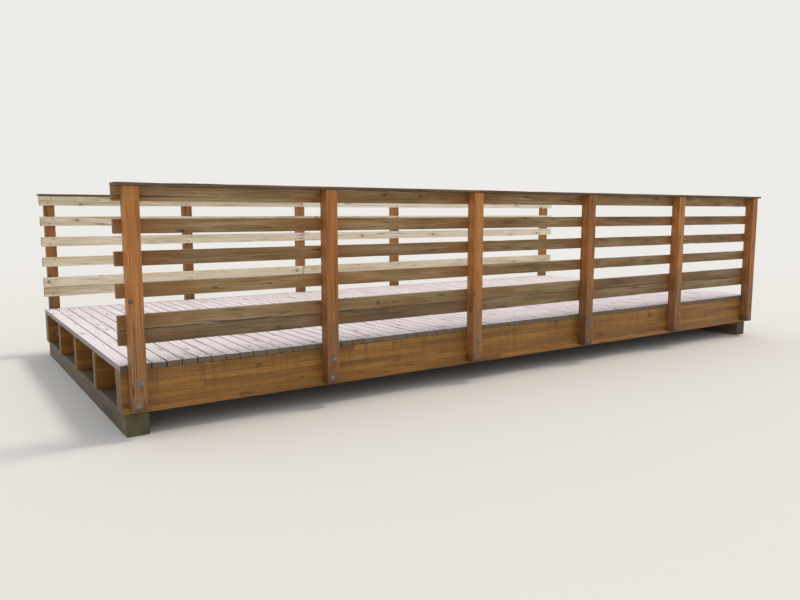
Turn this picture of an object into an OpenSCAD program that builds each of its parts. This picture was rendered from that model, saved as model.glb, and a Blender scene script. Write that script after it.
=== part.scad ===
// Timber footbridge on two edge girders, with a post and rail guard along each side.
// Millimetres. X runs along the bridge, Y across it towards the far side, Z up.
// The origin is on the ground under the middle of the bridge, level with the undersides of the sills.

/* [Length] */
// Bays between the posts of one guard
bays = 5; // [3:1:6]
// Distance between the centres of neighbouring posts
post_spacing = 1305; // [1000:5:1600]
// Distance from an end post's centre to the end of the bridge
end_overhang = 90; // [60:1:300]

/* [Deck] */
// Width of the deck, over the outer faces of the edge girders
deck_w = 3048; // [2400:1:3600]
// Width of one deck board
deck_board_w = 89; // [70:1:145]
// Thickness of the deck boards
deck_board_t = 38; // [30:1:60]
// Smallest gap between two deck boards
deck_board_gap = 5; // [3:0.5:10]

/* [Girders] */
// Width of an edge girder
girder_w = 130; // [90:1:180]
// Depth of the edge girders and the stringers
girder_h = 267; // [240:1:400]
// Width of an inner stringer
stringer_w = 79; // [60:1:130]
// Thickness of a block between the girders
block_t = 38; // [30:1:60]
// Depth of a block, down from the top of the girders
block_h = 235; // [140:1:238]

/* [Bearings] */
// Width of a sill timber, along the bridge
sill_w = 140; // [100:1:250]
// Height of a sill timber
sill_h = 140; // [90:1:250]
// Distance from the end of the bridge to the outer face of a sill
sill_inset = 20; // [0:1:80]

/* [Posts] */
// Side of a square post
post_side = 89; // [70:1:120]
// Height of a post's foot above the underside of the girder
post_foot_rise = 25; // [10:1:80]

/* [Guard rails] */
// Height of one rail on edge
rail_h = 89; // [60:1:140]
// Thickness of the rails
rail_t = 38; // [25:1:50]
// Open gap between neighbouring rails
rail_gap = 101.5; // [60:0.5:130]
// Gap between the deck and the lowest rail
kick_clearance = 120; // [60:1:150]
// Thin gap between the two rails of the close pair at the foot
kick_gap = 3; // [2:0.5:8]
// Gap where two lengths of a rail or cap meet over a post
butt_gap = 2; // [1:0.5:4]

/* [Cap] */
// Width of the cap board
cap_w = 140; // [130:1:200]
// Thickness of the cap board
cap_t = 19; // [15:1:45]

/* [Edges] */
// Eased edge of the posts, rails, boards and blocks
board_arris = 2.5; // [1:0.5:4]
// Eased edge of the girders, stringers and sills
girder_arris = 5; // [2:0.5:8]

/* [Hidden] */
SIDES = ["near", "far"];
ENDS = ["left", "right"];
// The rails from the lowest up
RAILS = ["kick_rail_lower", "kick_rail_upper", "lower_rail", "middle_rail", "upper_rail", "top_rail"];
STRINGERS = ["near_stringer", "centre_stringer", "far_stringer"];
posts = bays + 1;
POSTS = [for (s = SIDES) for (i = [1:posts]) str(s, "_post_", i)];

// Along the bridge
bridge_l = bays * post_spacing + 2 * end_overhang;
sill_x = bridge_l / 2 - sill_inset - sill_w / 2;
// The end blocks stand over the sills' inner edges, clear of the bolts through the end posts
end_block_x = sill_x - (sill_w - block_t) / 2;
board_count = floor((bridge_l + deck_board_gap) / (deck_board_w + deck_board_gap));
board_pitch = (bridge_l - deck_board_w) / (board_count - 1);
// Across the bridge
edge_y = deck_w / 2;
girder_y = edge_y - girder_w / 2;
member_y = [for (k = [-2:2]) k * girder_y / 2];
member_w = [girder_w, stringer_w, stringer_w, stringer_w, girder_w];
// Heights
girder_z = sill_h;
deck_z = girder_z + girder_h;
walk_z = deck_z + deck_board_t;
kick_top = kick_clearance + 2 * rail_h + kick_gap;
rail_pitch = rail_h + rail_gap;
rail_z = [
    walk_z + kick_clearance,
    walk_z + kick_clearance + rail_h + kick_gap,
    for (k = [0:3]) walk_z + kick_top + rail_gap + k * rail_pitch
];
cap_z = rail_z[5] + rail_h;
post_foot_z = girder_z + post_foot_rise;

function post_x(i) = (i - 1 - bays / 2) * post_spacing;
function side_y(s) = s == 0 ? -1 : 1;
// The post over which the two lengths of a rail meet, one of the middle two in turn
function butt_post(level) = floor(posts / 2) + level % 2;

// Cross-section of sawn timber with its four edges eased, centred across and standing on its lower side
function eased(w, h, a) = [
    [-w / 2 + a, 0], [w / 2 - a, 0], [w / 2, a], [w / 2, h - a],
    [w / 2 - a, h], [-w / 2 + a, h], [-w / 2, h - a], [-w / 2, a]
];

// Timber of width w and height h along X, between two places on X
module along_x(x1, x2, w, h, a)
    translate([x1, 0, 0]) rotate([90, 0, 90]) linear_extrude(x2 - x1) polygon(eased(w, h, a));

// Timber of width w and height h along Y, of length l, centred
module along_y(l, w, h, a)
    rotate([90, 0, 0]) linear_extrude(l, center = true) polygon(eased(w, h, a));

// A board the whole length of the bridge, in two lengths that meet over a post
module two_lengths(joint_post, w, h) {
    joint_x = post_x(joint_post);
    along_x(-bridge_l / 2, joint_x - butt_gap / 2, w, h, board_arris);
    along_x(joint_x + butt_gap / 2, bridge_l / 2, w, h, board_arris);
}

// Rail on edge against the walkway side of the posts
module rail(s, level)
    color("#8a6a42")
        translate([0, side_y(s) * (edge_y - rail_t / 2), rail_z[level]])
            two_lengths(butt_post(level + s), rail_t, rail_h);

// Flat board over the posts and the top rail, as far out on both sides
module cap(s)
    color("#7a5c4a")
        translate([0, side_y(s) * (edge_y + (post_side - rail_t) / 2), cap_z])
            two_lengths(butt_post(s), cap_w, cap_t);

// Post outside the deck, lapping the girder's outer face and stopping under the cap
module post(s, i)
    color("#a8633a")
        translate([post_x(i), side_y(s) * (edge_y + post_side / 2) - post_side / 2, post_foot_z])
            linear_extrude(cap_z - post_foot_z) polygon(eased(post_side, post_side, board_arris));

module girder(s)
    color("#95602d")
        translate([0, side_y(s) * girder_y, girder_z])
            along_x(-bridge_l / 2, bridge_l / 2, girder_w, girder_h, girder_arris);

module stringer(k)
    color("#8c5e33")
        translate([0, member_y[k], girder_z])
            along_x(-bridge_l / 2, bridge_l / 2, stringer_w, girder_h, girder_arris);

// Blocks on edge that fill the spaces between the girders and stringers
module blocking(x)
    color("#94703f")
        for (k = [0:3]) {
            y1 = member_y[k] + member_w[k] / 2;
            y2 = member_y[k + 1] - member_w[k + 1] / 2;
            translate([x, (y1 + y2) / 2, deck_z - block_h]) along_y(y2 - y1, block_t, block_h, board_arris);
        }

// The cross boards of one bay, each with a gap to the next
module deck_bay(i)
    color("#d9cbc6")
        for (b = [floor(board_count * (i - 1) / bays) : floor(board_count * i / bays) - 1])
            translate([-bridge_l / 2 + deck_board_w / 2 + b * board_pitch, 0, deck_z])
                along_y(deck_w, deck_board_w, deck_board_t, board_arris);

module sill(e)
    color("#6b5846")
        translate([e * sill_x, 0, 0]) along_y(deck_w, sill_w, sill_h, girder_arris);

for (s = [0:1]) {
    for (r = [0:5]) rail(s, r);
    cap(s);
    for (i = [1:posts]) post(s, i);
    girder(s);
}
for (k = [1:3]) stringer(k);
blocking(-end_block_x);  // left_blocking
blocking(0);  // middle_blocking
blocking(end_block_x);  // right_blocking
for (i = [1:bays]) deck_bay(i);
sill(-1);  // left_sill
sill(1);  // right_sill
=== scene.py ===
# %% [markdown]
# # A timber footbridge in its weathered finish
# The CAD model holds every timber of the bridge at its real size and place. This script gives those
# timbers the look that years outdoors have left on them, adds the bolts and screws that hold them
# together, and sets a floor, lights and a camera. Each step first says what the real thing is.

# %% Load the frame
import math
import random
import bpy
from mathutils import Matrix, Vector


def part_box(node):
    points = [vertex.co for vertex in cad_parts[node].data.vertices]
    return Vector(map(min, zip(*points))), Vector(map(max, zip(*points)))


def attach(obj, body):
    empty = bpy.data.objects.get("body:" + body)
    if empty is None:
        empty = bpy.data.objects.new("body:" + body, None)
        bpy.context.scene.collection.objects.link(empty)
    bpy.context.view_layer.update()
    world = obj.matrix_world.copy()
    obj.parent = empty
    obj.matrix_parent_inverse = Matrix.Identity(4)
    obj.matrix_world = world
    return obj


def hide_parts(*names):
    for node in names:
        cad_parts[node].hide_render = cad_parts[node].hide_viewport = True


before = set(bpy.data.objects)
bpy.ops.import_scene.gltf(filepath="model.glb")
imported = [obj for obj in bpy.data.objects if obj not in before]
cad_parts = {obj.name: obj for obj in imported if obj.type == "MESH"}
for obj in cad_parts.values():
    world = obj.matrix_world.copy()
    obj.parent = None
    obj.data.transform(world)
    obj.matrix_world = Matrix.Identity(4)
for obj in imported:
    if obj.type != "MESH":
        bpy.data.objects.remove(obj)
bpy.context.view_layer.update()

from types import SimpleNamespace

import bmesh
import bpy
from mathutils import Matrix, Vector, noise

# %% [markdown]
# ## Colours
# A colour on a swatch or in a picture is written in sRGB, but shaders add and mix light, which needs
# linear numbers. One function turns the first into the second, so that every colour below can be
# written as the hex value that the eye would name.


# %% Turn a hex colour into linear light
def linear(hexcode):
    """An sRGB hex colour as the linear RGBA that shaders use. Its numbers are the sRGB standard's own."""
    channels = [int(hexcode[i : i + 2], 16) / 255 for i in (1, 3, 5)]
    return (*[c / 12.92 if c <= 0.04045 else ((c + 0.055) / 1.055) ** 2.4 for c in channels], 1.0)


print("Mid grey in linear light:", [round(c, 3) for c in linear("#808080")])

# %% [markdown]
# ## Where each timber lies
# Several CAD nodes hold more than one timber: a deck bay is fourteen or fifteen boards, and a rail is
# two lengths that meet over a post. The imported mesh is loose triangles, so a copy of it is merged
# first, and then each island of joined points is one timber. Reading the boxes here, rather than
# writing the sizes again, keeps this file true to the CAD model when a size there changes.

# %% Read the timbers out of a CAD node
# Blender works in metres
MM = 0.001
# Points closer than this are one
SAME_POINT = 0.01 * MM


def timbers_of(node):
    """The lowest and highest corner of each separate timber in a CAD node, from left to right."""
    bm = bmesh.new()
    bm.from_mesh(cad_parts[node].data)
    bmesh.ops.remove_doubles(bm, verts=bm.verts, dist=SAME_POINT)
    boxes, unseen = [], set(bm.verts)
    while unseen:
        front = [unseen.pop()]
        island = []
        while front:
            vert = front.pop()
            island.append(vert.co)
            joined = {edge.other_vert(vert) for edge in vert.link_edges} & unseen
            unseen -= joined
            front.extend(joined)
        boxes.append([Vector(f(co[k] for co in island) for k in range(3)) for f in (min, max)])
    bm.free()
    return sorted(boxes, key=lambda box: (round(box[0].x, 3), round(box[0].y, 3)))


print("The near girder's corners:", timbers_of("near_girder"))

# %% List the CAD nodes by kind
RAILS = ["kick_rail_lower", "kick_rail_upper", "lower_rail", "middle_rail", "upper_rail", "top_rail"]
# Each side with the way that its rails face the walkway along Y
SIDES = {"near": 1.0, "far": -1.0}
POSTS = sorted(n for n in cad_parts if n.startswith("near_post_"))
BAYS = sorted(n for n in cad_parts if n.startswith("deck_bay_"))
MEMBERS = ["near_girder", "near_stringer", "centre_stringer", "far_stringer", "far_girder"]
print("Boards in each bay:", [len(timbers_of(bay)) for bay in BAYS])
print("Lengths in a rail:", len(timbers_of("near_top_rail")))

# %% [markdown]
# ## Places that the hardware and the stains share
# A screw leaves a stain, so the two have to agree on where the screw is. The rows that posts, girders
# and stringers stand in are read from the CAD model, and the screws and bolts get their distances from
# them here, once, for the steel and for the marks on the wood.


# %% Rows of posts, girders and screws
def middle_of(node):
    """The middle of a CAD node's box."""
    low, high = (Vector(corner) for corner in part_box(node))
    return (low + high) / 2


POST_X = [middle_of(post).x for post in POSTS]
POST_STEP = POST_X[1] - POST_X[0]
MEMBER_Y = [middle_of(member).y for member in MEMBERS]
MEMBER_STEP = MEMBER_Y[1] - MEMBER_Y[0]
girder_low, girder_high = (Vector(corner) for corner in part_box("near_girder"))
POST_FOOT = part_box(POSTS[0])[0][2]
DECK_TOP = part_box(BAYS[0])[1][2]
# Screws stand this far from the middle of a deck board, and from a post's and a rail's middle
DECK_SCREW = 25 * MM
RAIL_SCREW = Vector((15 * MM, 0.0, 22 * MM))
# Bolts stand this far to the side of a post's middle, and this far above the girder's underside
POST_BOLTS = [(-10 * MM, 70 * MM), (10 * MM, 205 * MM)]
print("Between posts:", round(POST_STEP, 4), "- between girders and stringers:", round(MEMBER_STEP, 4))

# %% [markdown]
# ## A sawn timber
# Real sawn timber is a box only at first sight. The mill rounds its long edges, it dries a millimetre
# smaller than it was cut, its section wanders a little along its length, its corners get chipped, and
# boards that are laid down one by one never end quite in line. A box with a Bevel modifier would
# show the rounding alone. Here a cube is stretched to the timber's box, cut into slices along its
# length and bevelled, and its points are then moved by smooth noise, about as far as it has shrunk, so
# that it doesn't grow past the CAD timber.

# %% Cut a timber out of a cube
# How much a timber shrinks as it dries, and how long its slices are
DRYING, SLICE = 0.8 * MM, 140 * MM
# Edges whose faces turn by more than this, in radians, are the arrises and the ends' edges
SHARP = 1.0


def rough_timber(size, along, wide, arris):
    """A box of that size about the origin, cut into slices along its length, with its edges eased."""
    bm = bmesh.new()
    bmesh.ops.create_cube(bm, size=1.0)
    bmesh.ops.scale(bm, vec=size - Vector((DRYING,) * 3), verts=bm.verts)
    for axis, cuts in ((along, int(size[along] / SLICE)), (wide, 2)):
        edges = [e for e in bm.edges if abs(e.verts[0].co[axis] - e.verts[1].co[axis]) > MM]
        bmesh.ops.subdivide_edges(bm, edges=edges, cuts=cuts, use_grid_fill=True)
    corners = [e for e in bm.edges if e.calc_face_angle(0.0) > SHARP]
    bmesh.ops.bevel(
        bm, geom=corners, offset=arris, offset_type="OFFSET", affect="EDGES", segments=2, profile=0.5,
        material=-1,
    )
    return bm


def to_mesh(name, bm):
    """The finished bmesh as mesh data."""
    mesh = bpy.data.meshes.new(name)
    bm.to_mesh(mesh)
    bm.free()
    return mesh


print("Slices on a metre of timber:", int(1 / SLICE) + 1)

# %% Wear a timber
# A section drifts by up to this, about once in half a metre
WANDER, WANDERS_PER_METRE = 0.6 * MM, 1.9
# Arrises are chipped about every 15 cm, where a noise rises past the last value
CHIP, CHIPS_PER_METRE, CHIPPED_FROM = 5.0 * MM, 7.0, 0.2
# A timber's random number moves it this far through the two noises, so that no two wear alike
WANDER_SHIFT, CHIP_SHIFT = 50.0, 90.0
# Points this far inside an arris are chipped with it
ARRIS_REACH = 1.5 * MM
# Without a seed, Blender's vector noise takes one from the clock
noise.seed_set(1)


def wear(bm, centre, half, along, arris, number):
    """Lets the section of a timber drift along its length, and chips its arrises."""
    across = [k for k in range(3) if k != along]
    for vert in bm.verts:
        co = vert.co
        place = co + centre
        drift = Vector((place[along] * WANDERS_PER_METRE, number * WANDER_SHIFT, 0.0))
        drift = noise.noise_vector(drift) * WANDER
        chip = place * CHIPS_PER_METRE + Vector((number * CHIP_SHIFT, 0.0, 0.0))
        chip = max(0.0, noise.noise(chip) - CHIPPED_FROM) * CHIP
        on_arris = all(abs(co[k]) > half[k] - arris - ARRIS_REACH for k in across)
        for k in across:
            co[k] += drift[k] - (math.copysign(chip, co[k]) if on_arris else 0.0)


print("The seeded noise at one point:", [round(x, 4) for x in noise.noise_vector(Vector((0.5, 0.2, 0.7)))])

# %% [markdown]
# ## Its place in the log
# Three things are written on a timber's points for the materials. `grain` is each point's place in the
# log that the timber came from: the distance along it, and the two distances from the pith at the
# log's middle. `middle` is its distance from the middle of its own timber, which places dirt and
# stains. `board` is one random number for each timber. With them one material can draw growth rings
# that run through a timber from face to end, in any direction, and different on every board.
#
# Everything random comes from seeded numbers, so that each run makes the same bridge.

# %% Write a timber's place in the log on its points
# All the timbers come out of one log of this length, each at its own place along it
LOG_LENGTH = 40.0
# The pith lies to the side of a timber's middle by up to this share of its width
PITH_ASIDE = 0.25


def sawn_timber(low, high, rng, arris, pith, cup=0.0, ragged=0.0):
    """A worn timber between two corners as a mesh, with its place in the log on its points.

    pith is the least and the most that the pith may lie off its middle, cup the depth of its hollow,
    and ragged the most that an end falls short.
    """
    along = max(range(3), key=lambda k: high[k] - low[k])
    low[along] += rng.uniform(0.0, ragged)
    high[along] -= rng.uniform(0.0, ragged)
    size, centre = high - low, (low + high) / 2
    half = size / 2
    thin, wide = sorted((k for k in range(3) if k != along), key=lambda k: size[k])
    number = rng.random()
    shift = rng.uniform(0.0, LOG_LENGTH)
    heart = Vector((0.0, 0.0, 0.0))
    heart[thin] = rng.choice((-1.0, 1.0)) * rng.uniform(*pith)
    heart[wide] = rng.uniform(-PITH_ASIDE, PITH_ASIDE) * size[wide]

    bm = rough_timber(size, along, wide, arris)
    grain = bm.verts.layers.float_vector.new("grain")
    middle = bm.verts.layers.float_vector.new("middle")
    board = bm.verts.layers.float.new("board")
    for vert in bm.verts:
        co = vert.co
        vert[grain] = (co[along] + shift, co[wide] - heart[wide], co[thin] - heart[thin])
        vert[middle] = co
        vert[board] = number
    wear(bm, centre, half, along, arris, number)
    for vert in bm.verts:
        vert.co[thin] -= cup * (1.0 - (vert.co[wide] / half[wide]) ** 2)
    bmesh.ops.translate(bm, vec=centre, verts=bm.verts)
    return to_mesh("timber", bm)


METRE_OF_RAIL = Vector((0.0, 0.0, 0.0)), Vector((1.0, 38 * MM, 89 * MM))
sample = sawn_timber(*METRE_OF_RAIL, random.Random(1), arris=2.5 * MM, pith=(0.03, 0.11))
print("Faces on a metre of rail:", len(sample.polygons))
print("Its first point's grain:", [round(x, 3) for x in sample.attributes["grain"].data[0].vector])
bpy.data.meshes.remove(sample)


# %% Stand timbers in the place of a CAD node
def put_in_scene(name, data):
    """A new object at the origin that shows the data."""
    thing = bpy.data.objects.new(name, data)
    bpy.context.scene.collection.objects.link(thing)
    return thing


def new_piece(name, bm, material):
    """A finished mesh as an object at the origin, riding on the bridge, with its material."""
    piece = put_in_scene(name, to_mesh(name, bm))
    piece.data.materials.append(material)
    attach(piece, "root")
    return piece


def timber_piece(node, material, slot, **shape):
    """One visible piece of sawn timbers that stands for a CAD node."""
    rng = random.Random(node)
    bm = bmesh.new()
    for low, high in timbers_of(node):
        timber = sawn_timber(low, high, rng, **shape)
        bm.from_mesh(timber)
        bpy.data.meshes.remove(timber)
    piece = new_piece(node + "_timber", bm, material)
    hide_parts(node)


# %% [markdown]
# ## Adding a node
# A material is a net of small nodes. One function adds any of them: its settings go in by name, and
# each input gets a value or the node that feeds it. A Map Range node turns one range of values into
# another, by default 0 to 1. Many patterns here have to fall instead, from 1 to 0.

# %% Add a node with its settings and links
FALLING = {"To Min": 1.0, "To Max": 0.0}


def add(tree, kind, inputs=(), **settings):
    """Adds a shader node. Its inputs come as a list in their own order, or as a dict by name or number.

    Each takes a value, a socket, or a node, whose first socket feeds it.
    """
    node = tree.nodes.new("ShaderNode" + kind)
    for name, value in settings.items():
        setattr(node, name, value)
    for key, value in inputs.items() if isinstance(inputs, dict) else enumerate(inputs):
        if isinstance(value, bpy.types.Node):
            value = next(socket for socket in value.outputs if socket.enabled)
        if isinstance(value, bpy.types.NodeSocket):
            tree.links.new(value, node.inputs[key])
        else:
            node.inputs[key].default_value = value
    return node


def new_material(name):
    """A material of that name, and its node tree with a shader and an output."""
    material = bpy.data.materials.new(name)
    material.use_nodes = True
    tree = material.node_tree
    tree.nodes.clear()
    shader = add(tree, "BsdfPrincipled")
    add(tree, "OutputMaterial", {"Surface": shader})
    return material, tree, shader


# %% Find where a point is
def bridge_place(tree):
    """Where a point is on the bridge, as X, Y and Z."""
    return add(tree, "SeparateXYZ", [add(tree, "TexCoord").outputs["Object"]]).outputs


def timber_place(tree):
    """Where a point is from the middle of its own timber, as X, Y and Z."""
    middle = add(tree, "Attribute", attribute_name="middle").outputs["Vector"]
    return add(tree, "SeparateXYZ", [middle]).outputs


# %% [markdown]
# ## Where a point lies in its log
# A sawn board is one piece of one log, so its material reads `grain` as it stands. A glued girder is a
# stack of flat boards, each from another log and each made of shorter lengths glued end to end. Its
# mesh is one smooth beam, because it was planed after gluing, so the layers are worked out here: the
# height within the beam, divided by a layer's thickness, gives the layer's number, and a white noise
# of that number gives each length its own log.


# %% The place in the log of a sawn board
def sawn_log(tree):
    """The place in the log of a sawn timber, its random number, and no glue lines."""
    grain = add(tree, "Attribute", attribute_name="grain").outputs["Vector"]
    board = add(tree, "Attribute", attribute_name="board").outputs["Fac"]
    return grain, board, None


# %% The place in the log of a glued layer
# The girder's layers, how thick one is, and how long the lengths are that it is made of
LAYERS = 7
LAYER = (girder_high.z - girder_low.z) / LAYERS
LAYER_LENGTH = 2.3
# The two beams' random numbers are spread by this, so that their layers come out different
BEAM_SPREAD = 97.0
# The least that a layer lies off the pith, and how much more it may be
OFF_PITH, FURTHER = 25 * MM, 60 * MM
# A glue line is 0.2 mm thick, too fine to show, so it is drawn about 1.5 mm wide. It is full up to
# the first of these distances from its middle, in layers, and ends at the second
LINE_FULL, LINE_END = 0.01, 0.03


def glued_log(tree):
    """The same for a glued beam of flat layers, with 1 on its glue lines."""
    place = timber_place(tree)
    beam = add(tree, "Attribute", attribute_name="board").outputs["Fac"]
    beam = add(tree, "Math", [beam, BEAM_SPREAD], operation="MULTIPLY")
    lift = add(tree, "Math", [place["Z"], 1 / LAYER, LAYERS / 2], operation="MULTIPLY_ADD")
    layer = add(tree, "Math", [lift], operation="FLOOR")
    slide = add(tree, "CombineXYZ", {"X": layer, "Y": beam})
    slide = add(tree, "TexWhiteNoise", {"Vector": slide}, noise_dimensions="2D")
    length = add(tree, "Math", [place["X"], 1 / LAYER_LENGTH, slide], operation="MULTIPLY_ADD")
    length = add(tree, "Math", [length], operation="FLOOR")
    piece = add(tree, "CombineXYZ", {"X": layer, "Y": beam, "Z": length})
    chance = add(tree, "TexWhiteNoise", {"Vector": piece}, noise_dimensions="3D")

    # Its own place along the log, across it and off the pith
    within = add(tree, "Math", [lift], operation="FRACT")
    thick = add(tree, "Math", [within, LAYER, OFF_PITH], operation="MULTIPLY_ADD")
    split = add(tree, "SeparateColor", [chance.outputs["Color"]])
    shifts = ((LOG_LENGTH, place["X"]), (FURTHER, place["Y"]), (FURTHER, thick))
    moved = []
    for random_part, (most, start) in zip(split.outputs, shifts):
        moved.append(add(tree, "Math", [random_part, most, start], operation="MULTIPLY_ADD"))
    grain = add(tree, "CombineXYZ", moved)

    off_line = add(tree, "Math", [lift, 0.5], operation="PINGPONG")
    line = {"Value": off_line, "From Min": LINE_FULL, "From Max": LINE_END, **FALLING}
    return grain.outputs[0], chance.outputs["Value"], add(tree, "MapRange", line)


print("Layers of", round(LAYER / MM, 1), "mm, glue lines of", round((LINE_FULL + LINE_END) * LAYER / MM, 1))

# %% [markdown]
# ## Streaks along the grain
# What makes wood read as wood is order on three scales: fibres make thin streaks along the timber,
# growth rings make bands and arches, and knots break both. All of it is worked out from the place in
# the log, so that it goes through the timber as real growth does. The streaks are a noise that is drawn
# out along the log. Fibres are thinner than a hair, which no picture of a 6.7 m bridge can show, so they
# are drawn coarser.


# %% Draw streaks
def streaks(tree, place, length, width, **look):
    """A noise drawn out along its first axis, with streaks of about that length and width."""
    place = add(tree, "VectorMath", [place, (1 / length, 1 / width, 1 / width)], operation="MULTIPLY")
    return add(tree, "TexNoise", {"Vector": place, "Scale": 1.0, **look})


def apart(tree, value, other):
    """How far a value is from another, which is never negative."""
    past = add(tree, "Math", [value, other], operation="SUBTRACT")
    return add(tree, "Math", [past], operation="ABSOLUTE")


# %% [markdown]
# ## Knots
# A knot is a branch that ran out from the pith, so it is laid on a sheet unrolled round the log:
# distance along it one way, and the angle turned to a length the other way. A Voronoi pattern shares
# branches out over that sheet, and a small noise keeps them from being quite round. The branch has rings
# of its own, and darkens towards a rim of bark and resin where it dried loose. The log's rings flow past
# it in a lens four times as long as it is wide.

# %% Lay out the branches
# The sheet is the log's surface at this distance from the pith
UNROLLED_AT = 80 * MM
# A knot may grow in each patch of about this size. Its radius is written as a share of that size
KNOT_CELL = 260 * MM
THINNEST, THICKEST = 10 * MM / KNOT_CELL, 22 * MM / KNOT_CELL


def branches(tree, grain, share):
    """The branches on that share of patches: how far and which way the nearest is from a point.

    It has a radius, and grown is 1 if it is one of those that grew.
    """
    place = add(tree, "SeparateXYZ", [grain]).outputs
    angle = add(tree, "Math", [place["Z"], place["Y"]], operation="ARCTAN2")
    turned = add(tree, "Math", [angle, UNROLLED_AT / KNOT_CELL], operation="MULTIPLY")
    length = add(tree, "Math", [place["X"], 1 / KNOT_CELL], operation="MULTIPLY")
    sheet = add(tree, "CombineXYZ", {"X": length, "Y": turned})
    nearest = add(tree, "TexVoronoi", {"Vector": sheet, "Scale": 1.0}, voronoi_dimensions="2D")
    way = add(tree, "VectorMath", [sheet, nearest.outputs["Position"]], operation="SUBTRACT")
    chance = add(tree, "SeparateColor", [nearest.outputs["Color"]])
    grown = add(tree, "Math", [chance.outputs[0], share], operation="LESS_THAN")
    radius = add(tree, "MapRange", {"Value": chance.outputs[1], "To Min": THINNEST, "To Max": THICKEST})
    return SimpleNamespace(far=nearest.outputs["Distance"], way=way, radius=radius, grown=grown)


print("Knots:", round(2 * THINNEST * KNOT_CELL / MM), "to", round(2 * THICKEST * KNOT_CELL / MM), "mm wide")
print("At most", round(math.tau * UNROLLED_AT / KNOT_CELL**2, 1), "to a metre of log")

# %% Draw a knot and its rim
# A noise of this size makes a knot bulge, and the fibres fray it, each by this share of its radius
LUMP, BULGE, FRAY = 22 * MM, 0.6, 0.3
# Where it ends in radii, which the two noises push up from 1, and how blurred that is
EDGE, EDGE_BLUR = 1.3, 0.2
# Its own rings are this far apart in radii, and this dark
KNOT_RING, RING_DARK = 0.2, 0.6
# Its rim reaches this far inwards in radii, and is this dark
RIM, RIM_DARK = 0.6, 0.9


def knot_and_rim(tree, grain, fibre, branch):
    """Where a knot is, and how dark its rings and its rim make it, both from 0 to 1."""
    inside = add(tree, "Math", [branch.far, branch.radius], operation="DIVIDE")
    lumps = add(tree, "TexNoise", {"Vector": grain, "Scale": 1 / LUMP, "Detail": 1.0})
    for pattern, share in ((lumps, BULGE), (fibre, FRAY)):
        inside = add(tree, "Math", [pattern, share, inside], operation="MULTIPLY_ADD")
    knot = {"Value": inside, "From Min": EDGE, "From Max": EDGE + EDGE_BLUR, **FALLING}
    knot = add(tree, "MapRange", knot)
    knot = add(tree, "Math", [knot, branch.grown], operation="MULTIPLY")

    rings = add(tree, "Math", [inside, KNOT_RING / 2], operation="PINGPONG")
    rings = {"Value": rings, "From Max": KNOT_RING / 2, "To Min": RING_DARK, "To Max": 0.0}
    rim = {"Value": apart(tree, inside, EDGE), "From Max": RIM, "To Min": RIM_DARK, "To Max": 0.0}
    dark = [add(tree, "MapRange", rim), add(tree, "MapRange", rings)]
    dark = add(tree, "Math", dark, operation="MAXIMUM")
    return knot, add(tree, "Math", [dark, knot], operation="MULTIPLY")


# %% Draw the lens round a knot
# How many times as long as wide it is, and where it starts to fade and ends, in radii
LENS_LENGTH, LENS_FULL, LENS_END = 4, 0.3, 2.4


def lens_of(tree, branch):
    """How much the log's growth is pushed aside by a branch, from 0 to 1."""
    lens = add(tree, "VectorMath", [branch.way, (1 / LENS_LENGTH, 1, 1)], operation="MULTIPLY")
    lens = add(tree, "VectorMath", [lens], operation="LENGTH")
    lens = add(tree, "Math", [lens, branch.radius], operation="DIVIDE")
    lens = {"Value": lens, "From Min": LENS_FULL, "From Max": LENS_END, **FALLING}
    lens = add(tree, "MapRange", lens, interpolation_type="SMOOTHERSTEP")
    return add(tree, "Math", [lens, branch.grown], operation="MULTIPLY")


print("Longest lens:", round(2 * LENS_END * LENS_LENGTH * THICKEST * KNOT_CELL / MM), "mm")

# %% [markdown]
# ## Growth rings and drying checks
# Rings run round the pith, and a flat face cuts them into long bands and arches. Their distance from
# the pith is bent by a slow noise, because a log bends and tapers over a metre or so, and pushed
# outwards in the lens round a knot. A saw-toothed wave of that distance then darkens slowly and drops
# at once, as early wood turns to late wood. Real rings are 2 to 5 mm apart and are drawn coarser.
#
# Drying opens fine checks along the fibres. They are the lines where one long noise crosses its middle
# value, kept in some stretches only. Fine dark hairs of old stain lie between the fibres everywhere.

# %% Draw the rings
# The slow noise has waves of this length and width, and bends the rings by this much
SLOW_LENGTH, SLOW_WIDTH, BEND = 0.9, 200 * MM, 90 * MM
# How many rings' width a knot pushes them out
KNOT_PUSH = 2.2
# A Wave texture of scale 1 has one band in this many metres
WAVE_BAND = 0.31416


def rings_of(tree, grain, lens, ring):
    """Growth rings about that far apart, from 0 in the early wood to 1 in the late wood."""
    radius = add(tree, "VectorMath", [grain, (0, 1, 1)], operation="MULTIPLY")
    radius = add(tree, "VectorMath", [radius], operation="LENGTH")
    slow = streaks(tree, grain, SLOW_LENGTH, SLOW_WIDTH, Detail=2.0, Roughness=0.45)
    bent = add(tree, "Math", [slow, BEND, radius], operation="MULTIPLY_ADD")
    bent = add(tree, "Math", [lens, KNOT_PUSH * ring, bent], operation="MULTIPLY_ADD")
    bands = {"Vector": add(tree, "CombineXYZ", {"X": bent}), "Scale": WAVE_BAND / ring}
    return add(tree, "TexWave", bands, bands_direction="X", wave_profile="SAW").outputs["Fac"]


print("Scale of a wave with rings 11 mm apart:", round(WAVE_BAND / (11 * MM), 2))

# %% Draw the checks
# The long noise has waves of this length and width
CHECK_LENGTH, CHECK_APART = 1.1, 38 * MM
# A check is open up to the first distance from its middle value, and ends at the second
CHECK_OPEN, CHECK_END = 0.006, 0.022
# Checks start to show where the broad patches pass the first value, and are all there at the second
KEPT_FROM, KEPT_ALL = 0.52, 0.6


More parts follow.
